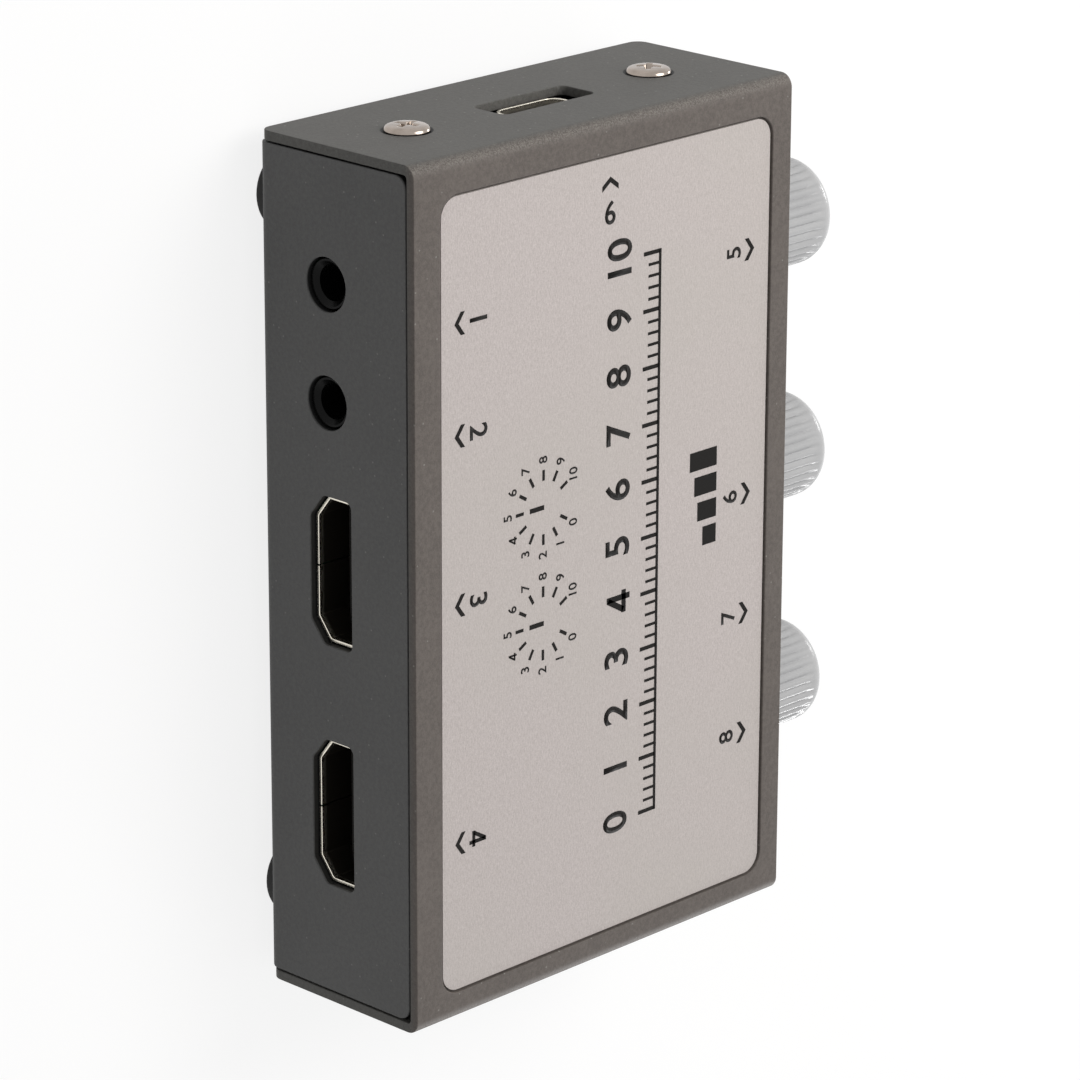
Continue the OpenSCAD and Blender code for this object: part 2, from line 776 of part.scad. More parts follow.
module pot(i) {
    collar_l = side_face + collar_proud - pot_front;
    below = shaft_lift + board_t + leg_below;
    color("silver") at_control(i) difference() {
        union() {
            translate([0, -pot_front + pot_l, 0]) inwards_y(pot_l) polygon([
                [-pot_w / 2, -shaft_lift], [pot_w / 2, -shaft_lift],
                [pot_w / 2, pot_top - shaft_lift - pot_chamfer],
                [pot_w / 2 - pot_chamfer, pot_top - shaft_lift],
                [-pot_w / 2 + pot_chamfer, pot_top - shaft_lift],
                [-pot_w / 2, pot_top - shaft_lift - pot_chamfer]]);
            translate([0, -pot_front + fixed_play, 0]) bar_y(collar_w, collar_l + fixed_play);
            for (s = [-1, 1]) translate([s * (pot_w / 2 - pot_sheet / 2), -pot_front + pot_lug_y,
                -below / 2]) cube([pot_sheet, pot_lug_w, below], center = true);
        }
        translate([0, -pot_front + shaft_in_pot + 0.2, 0])
            bar_y(shaft_d + 2 * shaft_play, shaft_in_pot + 0.2 + collar_l + past);
    }
}

module wafer(i) {
    below = board_t + leg_below;
    color("peru") at_control(i) {
        translate([-pot_w / 2, -pot_front + pot_l, -shaft_lift])
            cube([pot_w, wafer_t, pot_top - wafer_below_top]);
        for (k = [-1 : 1])
            translate([k * pot_pin_pitch - pot_pin_w / 2,
                -pot_front + pot_l + (wafer_t - pot_pin_t) / 2, -shaft_lift - below])
                cube([pot_pin_w, pot_pin_t, below + leg_overlap]);
    }
}

module shaft(i) {
    start = pot_front - shaft_in_pot;
    end = knob_back + knob_bore_l - shaft_end_play;
    flat_lead = 0.4;
    flat_from = knob_back + knob_hollow_l - flat_lead;
    color("gainsboro") at_control(i) difference() {
        translate([0, -start, 0]) bar_y(shaft_d, end - start);
        translate([-shaft_d, -end - past, shaft_flat])
            cube([2 * shaft_d, end + past - flat_from, shaft_d]);
    }
}

module knob(i) {
    knob_r = knob_d / 2;
    bore_d = shaft_d + 2 * fixed_play;
    color("silver") at_control(i) translate([0, -knob_back, 0]) difference() {
        union() {
            inwards_y(knob_rib_l) difference() {
                circle(r = knob_r, $fn = 96);
                for (k = [0 : knob_ribs - 1]) rotate(k * 360 / knob_ribs)
                    translate([knob_r + knob_groove_r - knob_groove_depth, 0])
                        circle(r = knob_groove_r, $fn = 24);
            }
            rotate([90, 0, 0]) rotate_extrude($fn = 96) {
                square([knob_r - knob_groove_r, knob_rib_l + 0.01]);
                translate([0, knob_rib_l]) square([knob_r, knob_l - knob_rib_l - knob_edge_r]);
                translate([0, knob_rib_l]) square([knob_r - knob_edge_r, knob_l - knob_rib_l]);
                translate([knob_r - knob_edge_r, knob_l - knob_edge_r]) intersection() {
                    circle(r = knob_edge_r);
                    square(knob_edge_r);
                }
            }
        }
        difference() {
            translate([0, past, 0]) bar_y(bore_d, knob_bore_l + past);
            translate([-shaft_d, -knob_bore_l - past, shaft_flat + fixed_play])
                cube([2 * shaft_d, knob_bore_l + past - knob_hollow_l, shaft_d]);
        }
        translate([0, past, 0]) bar_y(collar_w + knob_hollow_w, knob_hollow_l + past);
        translate([-pointer_w / 2, -knob_l - past, knob_r - knob_edge_r - pointer_l])
            cube([pointer_w, past + pointer_depth, pointer_l]);
    }
}

module line_pot() { pot(0); }
module mic_pot() { pot(1); }
module video_pot() { pot(2); }
module line_wafer() { wafer(0); }
module mic_wafer() { wafer(1); }
module video_wafer() { wafer(2); }
module line_shaft() { shaft(0); }
module mic_shaft() { shaft(1); }
module video_shaft() { shaft(2); }
module line_knob() { knob(0); }
module mic_knob() { knob(1); }
module video_knob() { knob(2); }

// Indicator

module lamp() {
    back = -side_face - guide_proud + guide_l;
    color("white") translate([lamp_x - lamp_w / 2, back, board_top]) cube([lamp_w, lamp_l, lamp_h]);
}

module light_guide() {
    back = -side_face - guide_proud + guide_l;
    color("aliceblue") {
        translate([lamp_x, back, board_top + lamp_lift]) bar_y(guide_d, guide_l);
        translate([lamp_x - guide_foot_w / 2, back - guide_foot_l, board_top])
            cube([guide_foot_w, guide_foot_l, lamp_lift + guide_d / 2 + guide_foot_above]);
    }
}

// Components

module chip(size) {
    difference() {
        translate([0, 0, size[2] / 2]) cube(size, center = true);
        translate([-size[0] / 2 + dimple_inset, size[1] / 2 - dimple_inset, size[2] - dimple_depth])
            cylinder(d = dimple_d, h = past, $fn = 24);
    }
}

module on_board(at) { translate([at[0] * board_l, at[1], board_top]) children(); }

module main_chip() { color([0.12, 0.12, 0.12]) on_board(main_chip_at) chip(main_chip_size); }

module small_chips() {
    color([0.12, 0.12, 0.12]) for (p = small_chips_at) on_board(p) chip([p[2], p[3], p[4]]);
}

module capacitors() {
    color("lightgray") for (p = capacitors_at) on_board(p) {
        translate([0, 0, capacitor_base_h / 2])
            cube([capacitor_d + 0.3, capacitor_d + 0.3, capacitor_base_h], center = true);
        cylinder(d = capacitor_d, h = capacitor_h);
    }
}

module inductors() {
    color([0.25, 0.25, 0.25]) for (p = inductors_at) on_board(p)
        linear_extrude(height = inductor_h) round_rect(inductor_w, inductor_w, inductor_r);
}

module crystal() {
    color("lightgray") on_board(crystal_at) {
        can_l = crystal_l - 2 * crystal_rim;
        can_w = crystal_w - 2 * crystal_rim;
        linear_extrude(height = crystal_rim_h)
            round_rect(crystal_l, crystal_w, crystal_w / 2 - 0.01);
        linear_extrude(height = crystal_h) round_rect(can_l, can_w, can_w / 2 - 0.01);
    }
}

tray();
cover();
label_plate();
rubber_feet();
cover_screws();
standoffs();
circuit_board();
board_screws();
video_out_shell();
video_out_core();
video_out_contacts();
video_in_shell();
video_in_core();
video_in_contacts();
headset_jack();
headset_springs();
line_jack();
line_springs();
host_shell();
host_core();
host_contacts();
line_pot();
mic_pot();
video_pot();
line_wafer();
mic_wafer();
video_wafer();
line_shaft();
mic_shaft();
video_shaft();
line_knob();
mic_knob();
video_knob();
lamp();
light_guide();
main_chip();
small_chips();
capacitors();
inductors();
crystal();
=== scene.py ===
# %% [markdown]
# # Dressing a video capture box
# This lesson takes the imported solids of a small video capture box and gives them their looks. The
# box is a folded steel tray and cover with fine textured paint. It has jacks and video sockets on
# one side, three level knobs on the other and a printed label in a shallow recess.
# Everything is in metres, in the frame of the solids: +X is the end with the host socket, +Y the
# side with the sockets, -Y the side with the knobs, and Z is 0 where the rubber feet rest.

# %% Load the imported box
import math

import bpy
from mathutils import Matrix, Vector


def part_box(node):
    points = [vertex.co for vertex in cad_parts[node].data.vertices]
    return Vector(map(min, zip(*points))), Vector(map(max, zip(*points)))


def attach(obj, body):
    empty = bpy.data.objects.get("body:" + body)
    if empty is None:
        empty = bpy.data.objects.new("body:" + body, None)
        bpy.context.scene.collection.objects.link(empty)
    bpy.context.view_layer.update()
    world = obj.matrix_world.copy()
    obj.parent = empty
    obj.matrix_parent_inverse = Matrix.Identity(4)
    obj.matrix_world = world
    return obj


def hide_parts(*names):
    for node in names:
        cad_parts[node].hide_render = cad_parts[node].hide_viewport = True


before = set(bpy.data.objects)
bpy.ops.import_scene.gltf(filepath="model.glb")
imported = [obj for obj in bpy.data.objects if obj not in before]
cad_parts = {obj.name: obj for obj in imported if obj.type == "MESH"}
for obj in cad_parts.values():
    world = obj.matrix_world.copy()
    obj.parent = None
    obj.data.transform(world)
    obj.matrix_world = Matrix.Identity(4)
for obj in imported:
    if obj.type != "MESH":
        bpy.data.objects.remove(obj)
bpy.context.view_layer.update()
mm = 0.001

# %% [markdown]
# ## Camera
# The photograph looks at the box from above its socket side, turned so that the long side of the
# box runs up the picture. A camera can be aimed with a Track To constraint, or given its turn in
# numbers. The turn is given here, because the picture is rolled by almost a right angle. The long
# lens keeps the edges nearly parallel, as in a product photograph.

# %% Camera at the photograph's angle
camera_data = bpy.data.cameras.new("photo_camera")
camera_data.sensor_width = 36
camera_data.lens = 168.087
camera_data.clip_start, camera_data.clip_end = 0.05, 5
camera = bpy.data.objects.new("photo_camera", camera_data)
camera.location = (0.160794, 0.344137, 0.348429)
camera.rotation_euler = [math.radians(a) for a in (-18.85393, -45.794091, -89.707182)]
bpy.context.scene.collection.objects.link(camera)
bpy.context.scene.camera = camera
print("camera distance in mm:", round(camera.location.length / mm))

# %% [markdown]
# ## Small helpers
# Operators act on whatever is selected, so every step begins by selecting one thing only. In edit
# mode the faces and edges to work on are picked in code, by where they are or which way they face.

# %% Selecting
def leave_edit_mode():
    if bpy.context.object and bpy.context.object.mode != "OBJECT":
        bpy.ops.object.mode_set(mode="OBJECT")


def only(piece):
    """Deselects all objects, then selects this one and makes it active."""
    leave_edit_mode()
    bpy.ops.object.select_all(action="DESELECT")
    piece.select_set(True)
    bpy.context.view_layer.objects.active = piece
    return piece


def pick(piece, kind, test):
    """Selects the faces, edges or vertices that pass a test, and leaves the piece in edit mode."""
    only(piece)
    bpy.ops.object.mode_set(mode="EDIT")
    bpy.ops.mesh.select_mode(type={"polygons": "FACE", "edges": "EDGE", "vertices": "VERT"}[kind])
    bpy.ops.mesh.select_all(action="DESELECT")
    bpy.ops.object.mode_set(mode="OBJECT")
    for item in getattr(piece.data, kind):
        item.select = bool(test(item))
    bpy.ops.object.mode_set(mode="EDIT")


def settle(piece):
    """Applies every modifier and the object's place, so that the place is in the mesh."""
    only(piece)
    for modifier in list(piece.modifiers):
        bpy.ops.object.modifier_apply(modifier=modifier.name)
    bpy.ops.object.transform_apply(location=True, rotation=True, scale=True)
    return piece


print("helpers: leave_edit_mode, only, pick, settle")

# %% [markdown]
# Knobs and screw heads are turned shapes. A cylinder with bevels would do, but drawing half of the
# outline and spinning it about the axis puts every ring where it is wanted. A recess is then cut
# out of the turned shape with another piece.

# %% Turning and cutting
def turned(name, outline, sides):
    """Draws half an outline of (radius, height) in mm, vertex by vertex, and spins it about Z."""
    leave_edit_mode()
    bpy.ops.mesh.primitive_plane_add(size=mm, location=(0, 0, 0))
    piece = only(bpy.context.object)
    piece.name = name
    bpy.ops.object.mode_set(mode="EDIT")
    bpy.ops.mesh.select_all(action="SELECT")
    bpy.ops.mesh.merge(type="CENTER")
    last_radius, last_height = 0, 0
    for i, (radius, height) in enumerate(outline):
        step = ((radius - last_radius) * mm, 0, (height - last_height) * mm)
        if i == 0:
            bpy.ops.transform.translate(value=step)
        else:
            bpy.ops.mesh.extrude_region_move(TRANSFORM_OT_translate={"value": step})
        last_radius, last_height = radius, height
    bpy.ops.mesh.select_all(action="SELECT")
    bpy.ops.mesh.spin(steps=sides, angle=2 * math.pi, center=(0, 0, 0), axis=(0, 0, 1))
    bpy.ops.mesh.select_all(action="SELECT")
    bpy.ops.mesh.remove_doubles(threshold=0.002 * mm)
    bpy.ops.mesh.normals_make_consistent(inside=False)
    bpy.ops.object.mode_set(mode="OBJECT")
    return piece


def cut(piece, cutter):
    """Takes the cutter's shape out of the piece and deletes the cutter."""
    taken = piece.modifiers.new("cut", "BOOLEAN")
    taken.operation, taken.solver, taken.object = "DIFFERENCE", "EXACT", cutter
    settle(piece)
    bpy.data.objects.remove(cutter)


def block(name, size, place):
    """A box of this size in mm, with its middle at place, to cut with."""
    leave_edit_mode()
    bpy.ops.mesh.primitive_cube_add(size=1, location=[v * mm for v in place])
    piece = only(bpy.context.object)
    piece.name = name
    piece.scale = [v * mm for v in size]
    bpy.ops.object.transform_apply(location=True, rotation=True, scale=True)
    return piece


def placed(piece, name, matrix):
    """A copy of the piece with its own mesh, moved by the matrix, with the place in the mesh."""
    copy = piece.copy()
    copy.data = piece.data.copy()
    copy.name = copy.data.name = name
    bpy.context.scene.collection.objects.link(copy)
    copy.matrix_world = matrix
    return settle(copy)


print("helpers: turned, cut, block, placed")

# %% [markdown]
# ## Finishes as expressions
# A finish is a node material. Wiring dozens of Math nodes by hand hides what they work out, so a
# small class wraps a socket and lets ordinary arithmetic add the nodes. Colours go through Mix
# nodes instead, because a Math node would turn them grey.

# %% A socket that can be calculated with
class Signal:
    """A number that changes over a surface."""

    def __init__(self, finish, socket):
        self.finish, self.socket = finish, socket

    def math(self, operation, *values):
        """Adds a Math node that takes these values, each a number or a signal."""
        return self.finish.add("ShaderNodeMath", {"operation": operation}, dict(enumerate(values)))

    def __add__(self, other):
        return self.math("ADD", self, other)

    def __sub__(self, other):
        return self.math("SUBTRACT", self, other)

    def __rsub__(self, other):
        return self.math("SUBTRACT", other, self)

    def __mul__(self, other):
        return self.math("MULTIPLY", self, other)

    def above(self, low, high):
        """0 below low, 1 above high, and a smooth step between them."""
        settings = {"interpolation_type": "SMOOTHSTEP"}
        sockets = {"Value": self, "From Min": low, "From Max": high}
        return self.finish.add("ShaderNodeMapRange", settings, sockets)

    __radd__ = __add__


print("a Signal adds its own Math nodes")

# %% [markdown]
# The finish itself holds one Principled shader. What stays the same all over the surface is set on
# the shader's own sockets, and only what changes is wired. Patterns read Object coordinates, which
# here are the row frame in metres, so that a speckle of a tenth of a millimetre is a noise scale
# of ten thousand.

# %% A material with one Principled shader
def linear(red, green, blue):
    """A colour as read off a screen, 0 to 255, as the linear light that a shader takes."""
    return tuple((v / 255 / 12.92 if v < 10 else ((v / 255 + 0.055) / 1.055) ** 2.4)
                 for v in (red, green, blue)) + (1,)


class Finish:
    """A node material. Its constants are named like the shader's sockets, with _ for a space."""

    def __init__(self, name, **constants):
        self.material = bpy.data.materials.new(name)
        self.material.use_nodes = True
        self.tree = self.material.node_tree
        self.shader = self.tree.nodes["Principled BSDF"]
        for socket, value in constants.items():
            self.shader.inputs[socket.replace("_", " ")].default_value = value
        self.place = self.add("ShaderNodeTexCoord", {}, {}, "Object")

    def add(self, kind, settings, sockets, output=0):
        """Adds a node, sets it, then fills or links its sockets."""
        node = self.tree.nodes.new(kind)
        for name, value in settings.items():
            setattr(node, name, value)
        for name, value in sockets.items():
            if isinstance(value, Signal):
                self.tree.links.new(value.socket, node.inputs[name])
            else:
                node.inputs[name].default_value = value
        return Signal(self, node.outputs[output])

    def wire(self, **sockets):
        """Links signals to the shader's sockets."""
        for name, value in sockets.items():
            self.tree.links.new(value.socket, self.shader.inputs[name.replace("_", " ")])
        return self

    def distance(self, axis):
        """How far a point is from the frame's origin along an axis, in mm, to either side."""
        along = self.add("ShaderNodeSeparateXYZ", {}, {"Vector": self.place}, axis)
        return along.math("ABSOLUTE", along) * (1 / mm)

    def noise(self, size_mm, detail=2.0, stretch=(1, 1, 1), offset=0.0):
        """Smooth noise with lumps of about this size, longer along an axis with a small stretch."""
        spot = self.add("ShaderNodeMapping", {}, {
            "Vector": self.place, "Location": (offset, offset, offset), "Scale": stretch})
        return self.add("ShaderNodeTexNoise", {}, {
            "Vector": spot, "Scale": 1 / (size_mm * mm), "Detail": detail})

    def specks(self, size_mm, rarity, radius):
        """1 inside round grains, 0 elsewhere. rarity is the share of cells that hold no grain."""
        cell = self.add("ShaderNodeTexVoronoi", {"feature": "F1"}, {
            "Vector": self.place, "Scale": 1 / (size_mm * mm)}, "Distance")
        lot = self.add("ShaderNodeTexVoronoi", {"feature": "F1"}, {
            "Vector": self.place, "Scale": 1 / (size_mm * mm)}, "Color")
        drawn = self.add("ShaderNodeSeparateColor", {}, {"Color": lot}, "Red")
        return (1 - cell.above(radius * 0.5, radius)) * drawn.above(rarity, rarity + 0.01)

    def mix(self, factor, first, second):
        """A colour between two colours."""
        node = self.tree.nodes.new("ShaderNodeMix")
        node.data_type = "RGBA"
        for slot, value in ((0, factor), (6, first), (7, second)):
            if isinstance(value, Signal):
                self.tree.links.new(value.socket, node.inputs[slot])
            else:
                node.inputs[slot].default_value = value
        return Signal(self, node.outputs[2])

    def bump(self, height, depth_mm, strength):
        return self.add("ShaderNodeBump", {}, {
            "Height": height, "Distance": depth_mm * mm, "Strength": strength})


def wear(finish, *names):
    """Gives a finish to CAD nodes or to new pieces."""
    for name in names:
        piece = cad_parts.get(name) or bpy.data.objects[name]
        piece.data.materials.clear()
        piece.data.materials.append(finish.material)


print("label grey as linear light:", [round(v, 3) for v in linear(197, 188, 186)])

# %% [markdown]
# ## Textured paint
# The sheet metal is dark grey powder paint: satin, with a fine orange peel of a few tenths of a
# millimetre, and here and there a pale grain. A plain noise bump would look like stone, so the bump
# stays shallow, and a fine mottling does most of the work. Large, faint clouds keep the wide faces
# from looking like a flat colour. The label's side of the cover is painted a little warmer than its
# ends, as painted warm light. The bends between them are paler, partly rubbed paint and partly a
# painted highlight. Inside the tray, round its holes and in the cones under the screw heads, the
# sheet is painted nearly black as painted shade.

# %% Where the sheets and screws lie
tray_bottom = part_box("tray")[0].z / mm
tray_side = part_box("tray")[1].y / mm
cover_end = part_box("cover")[1].x / mm
cover_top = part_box("cover")[1].z / mm
bend_r = 1.4
screw_low, screw_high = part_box("cover_screws")
head_r, cone_r = 2.3, 2.5
screw_y = screw_high.y / mm - head_r
screw_z = (screw_low.z + screw_high.z) / 2 / mm
print("tray's outer face in mm:", round(tray_side, 2))
print("screws at Y and Z in mm:", round(screw_y, 2), round(screw_z, 2))

# %% Paint for the tray and the cover
cloud_mm, peel_mm, grit_mm, grain_mm = 8, 0.45, 0.16, 1.0
grain_grey, rubbed_and_highlight_grey, painted_shade_grey = linear(165, 163, 159), linear(150, 147, 140), linear(20, 20, 20)


def textured_paint(name, side_shades, top_shades, is_outer):
    """Shades are a dark and a light one. is_outer gives 0 where the sheet gets painted shade."""
    paint = Finish(name, Metallic=0.0, IOR=1.48, Specular_IOR_Level=0.36)
    cloud = paint.noise(cloud_mm, detail=3)
    peel = paint.noise(peel_mm, detail=4)
    grit = paint.noise(grit_mm, detail=2)
    grain = paint.specks(grain_mm, rarity=0.65, radius=0.13)
    mottle = cloud * 0.4 + peel.above(0.3, 0.7) * 0.35 + grit.above(0.3, 0.7) * 0.25
    on_top = paint.distance("Z").above(cover_top - bend_r, cover_top - 0.2)
    # On the cover the top's shades are warmer than the ends': painted warm light.
    base = paint.mix(on_top, paint.mix(mottle, *side_shades), paint.mix(mottle, *top_shades))
    base = paint.mix(grain * 0.45, base, grain_grey)
    # Paler bends: partly rubbed paint, partly a painted highlight.
    bend_wear_and_highlight = paint.distance("X").above(cover_end - 1.1, cover_end - 0.4) * on_top
    base = paint.mix(bend_wear_and_highlight * grit.above(0.4, 0.65) * 0.5, base, rubbed_and_highlight_grey)
    # Painted shade: nearly black away from the outer faces, in the holes and countersinks.
    base = paint.mix(is_outer(paint), painted_shade_grey, base)
    return paint.wire(
        Base_Color=base,
        Roughness=0.5 + peel * 0.16,
        Normal=paint.bump(peel * 0.7 + grit * 0.3, 0.06, 0.7))


# What this mask leaves out gets painted shade.
def outside_holes(paint):
    """The tray's outer faces: as far out as its sides, as low as its bottom, or round its bends."""
    across, up = paint.distance("Y"), paint.distance("Z")
    sides = across.above(tray_side - 0.3, tray_side - 0.12)
    bottom = 1 - up.above(tray_bottom + 0.12, tray_bottom + 0.3)
    corner = tray_side - tray_bottom - bend_r
    bends = (across - up).above(corner - 0.4, corner - 0.1)
    return sides.math("MAXIMUM", sides, bottom.math("MAXIMUM", bottom, bends))


# The cones under the screw heads get painted shade from this mask.
def outside_countersinks(paint):
    """All of the cover but the cones under the four screw heads."""
    across = paint.distance("Y") - screw_y
    up = paint.distance("Z") - screw_z
    return (across * across + up * up).above(cone_r ** 2, (cone_r + 0.12) ** 2)


# The warmer label-side pair is painted warm light on the same paint as the ends.
cool_lit_end_shades = linear(77, 76, 73), linear(111, 110, 107)
warm_lit_label_side_shades = linear(81, 75, 71), linear(115, 108, 103)
tray_shades = linear(90, 90, 90), linear(112, 112, 111)
cover_paint = textured_paint("cover_paint", cool_lit_end_shades, warm_lit_label_side_shades, outside_countersinks)
tray_paint = textured_paint("tray_paint", tray_shades, tray_shades, outside_holes)
print("paint nodes:", len(cover_paint.tree.nodes), len(tray_paint.tree.nodes))

# %% [markdown]
# ## Label plate
# The label is a thin aluminium plate with a matt, warm grey face. Close up it shows a fine grain,
# a little longer along the box, left by brushing before it was lacquered. The grain is a stretched
# noise in the roughness and the colour, too weak to read as lines from afar.

# %% Brushed and lacquered plate
label_face = Finish("label_face", Metallic=0.0, IOR=1.45, Specular_IOR_Level=0.35)
brush = label_face.noise(0.12, detail=2, stretch=(0.25, 1, 1))
grain = label_face.noise(0.16, detail=2, offset=0.3)
tone = label_face.noise(26, detail=1)
plate_grain = brush.above(0.25, 0.75) * 0.5 + grain.above(0.25, 0.75) * 0.5
plate_colour = label_face.mix(plate_grain, linear(183, 175, 172), linear(214, 206, 204))
plate_colour = label_face.mix(tone.above(0.3, 0.7) * 0.3, plate_colour, linear(193, 190, 182))
label_face.wire(
    Base_Color=plate_colour,
    Roughness=0.5 + grain * 0.14,
    Normal=label_face.bump(brush * 0.5 + grain * 0.5, 0.012, 0.5))
print("label nodes:", len(label_face.tree.nodes))

# %% [markdown]
# ## Metals
# Six metals are plain: bright nickel on the cover screws, dull plate on the standoffs, board screws
# and crystal, gold on the contacts, die cast zinc on the level controls, turned aluminium on their
# shafts and drawn aluminium on the capacitors. Each is fully metallic and differs by colour,
# roughness and the direction of its grain. The nickel of the socket shells is painted bright at the
# mouth as a painted highlight, and dark deeper in as painted shade.

# %% Plated and cast metals
def metal(name, colour, shade, rough, grain_mm, stretch=(1, 1, 1), depth_mm=0.004):
    made = Finish(name, Metallic=1.0)
    lines = made.noise(grain_mm, detail=3, stretch=stretch)
    stain = made.noise(2.3, detail=3, offset=0.1)
    return made.wire(
        Base_Color=made.mix(stain.above(0.35, 0.7) * 0.6, colour, shade),
        Roughness=rough + lines * 0.18 - 0.09,
        Normal=made.bump(lines, depth_mm, 0.5))


screw_nickel = metal("screw_nickel", linear(168, 157, 148), linear(128, 118, 109), 0.16, 0.5)
dull_plate = metal("dull_plate", linear(198, 198, 196), linear(170, 170, 168), 0.38, 0.15)
gold_plate = metal("gold_plate", linear(232, 198, 120), linear(212, 172, 96), 0.28, 0.08)
cast_zinc = metal("cast_zinc", linear(176, 177, 180), linear(150, 151, 154), 0.48, 0.25,
                  depth_mm=0.01)
turned_aluminium = metal("turned_aluminium", linear(204, 205, 208), linear(186, 187, 190), 0.32,
                         0.1, stretch=(0.15, 1, 0.15))
can_metal = metal("can_metal", linear(214, 215, 218), linear(198, 199, 202), 0.25, 0.2,
                  stretch=(1, 1, 0.2))
metals = (screw_nickel, dull_plate, gold_plate, cast_zinc, turned_aluminium, can_metal)
print("metals:", [made.material.name for made in metals])


# %% Socket shells, with a painted highlight at the mouth and painted shade inside
def shell_nickel(name, axis, mouth_mm):
    made = Finish(name, Metallic=1.0)
    lines = made.noise(0.12, detail=3)
    mouth_highlight = made.distance(axis).above(mouth_mm - 0.75, mouth_mm - 0.15)
    return made.wire(
        # Painted highlight at the mouth, painted shade deeper inside.
        Base_Color=made.mix(mouth_highlight, linear(66, 62, 56), linear(240, 234, 220)),
        Roughness=0.42 - mouth_highlight * 0.2 + lines * 0.1,
        Normal=made.bump(lines, 0.003, 0.4))


video_nickel = shell_nickel("video_nickel", "Y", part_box("video_out_shell")[1].y / mm)
host_nickel = shell_nickel("host_nickel", "X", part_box("host_shell")[1].x / mm)

# %% [markdown]
# ## Plastics, resin and rubber
# Moulded plastic is never quite even. It has a soft mould texture, a faint cloudiness and small
# changes of gloss. The knobs are light grey with a satin skin, and the sockets are black inside.

# %% Moulded and pressed materials
def moulded(name, colour, other, rough, texture_mm=0.3, depth_mm=0.012, spread=3.0, gloss=0.5):
    made = Finish(name, Metallic=0.0, IOR=1.5, Specular_IOR_Level=gloss)
    cloud = made.noise(spread, detail=2)
    skin = made.noise(texture_mm, detail=2, offset=0.2)
    return made.wire(
        Base_Color=made.mix(cloud * 0.7 + skin * 0.3, colour, other),
        Roughness=rough + skin * 0.16 - 0.08,
        Normal=made.bump(skin, depth_mm, 0.4))


knob_skin = moulded("knob_skin", linear(179, 180, 182), linear(193, 194, 195), 0.24, 0.2, 0.003, 5)
socket_black = moulded("socket_black", linear(6, 6, 6), linear(12, 12, 12), 0.26, 0.25, gloss=0.1)
foot_rubber = moulded("foot_rubber", linear(20, 20, 20), linear(32, 32, 31), 0.78, 0.22, 0.03)
chip_black = moulded("chip_black", linear(34, 34, 35), linear(46, 46, 47), 0.6, 0.12, 0.01)
ferrite_grey = moulded("ferrite_grey", linear(62, 62, 64), linear(80, 80, 82), 0.7, 0.2, 0.02)
wafer_brown = moulded("wafer_brown", linear(140, 98, 58), linear(160, 116, 72), 0.5, 0.15, 0.01)
lamp_white = moulded("lamp_white", linear(226, 226, 218), linear(238, 238, 232), 0.3, 0.3, 0.004)
board_green = moulded("board_green", linear(22, 66, 44), linear(30, 82, 54), 0.3, 0.5, 0.01, 1.2)
guide_clear = Finish("guide_clear", Metallic=0.0, IOR=1.49, Transmission_Weight=0.45)
milk = guide_clear.noise(0.8, detail=2)
guide_clear.wire(Base_Color=guide_clear.mix(milk, linear(225, 232, 232), linear(240, 244, 244)),
                 Roughness=0.12 + milk * 0.12)
print("materials so far:", len(bpy.data.materials))

# %% Dress the nodes that stay as they are
wear(cover_paint, "cover")
wear(tray_paint, "tray")
wear(label_face, "label_plate")
wear(screw_nickel, "cover_screws")
wear(video_nickel, "video_out_shell", "video_in_shell")
wear(host_nickel, "host_shell")
wear(dull_plate, "standoffs", "board_screws", "crystal")
wear(gold_plate, "video_out_contacts", "video_in_contacts", "host_contacts",
     "headset_springs", "line_springs")
wear(socket_black, "video_out_core", "video_in_core", "host_core", "headset_jack", "line_jack")
wear(foot_rubber, "rubber_feet")
wear(cast_zinc, "line_pot", "mic_pot", "video_pot")
wear(wafer_brown, "line_wafer", "mic_wafer", "video_wafer")
wear(turned_aluminium, "line_shaft", "mic_shaft", "video_shaft")
wear(knob_skin, "line_knob", "mic_knob", "video_knob")
wear(board_green, "circuit_board")
wear(chip_black, "main_chip", "small_chips")
wear(can_metal, "capacitors")
wear(ferrite_grey, "inductors")
wear(lamp_white, "lamp")
wear(guide_clear, "light_guide")
bare = [n for n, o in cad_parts.items() if not o.data.materials]
print("nodes without a finish:", bare)

# %% [markdown]
# ## Softened sheet edges
# No sheet has a knife edge: the punch leaves a small rounding, and powder or plating adds to it.
# That rounding catches a thin line of light round every hole and along every cut edge. The solids
# have sharp edges, so the tray, the cover and the socket shells get copies. The loose triangles of
# a copy are merged, its flat faces are joined, and a narrow bevel goes round what is sharp. Plain
# smooth shading would blur the light over the flat faces too. Weighted normals keep them flat.

# %% Copies of the sheets with narrow bevels
flat_angle, sharp_angle, smooth_angle = math.radians(0.3), math.radians(40), math.radians(50)


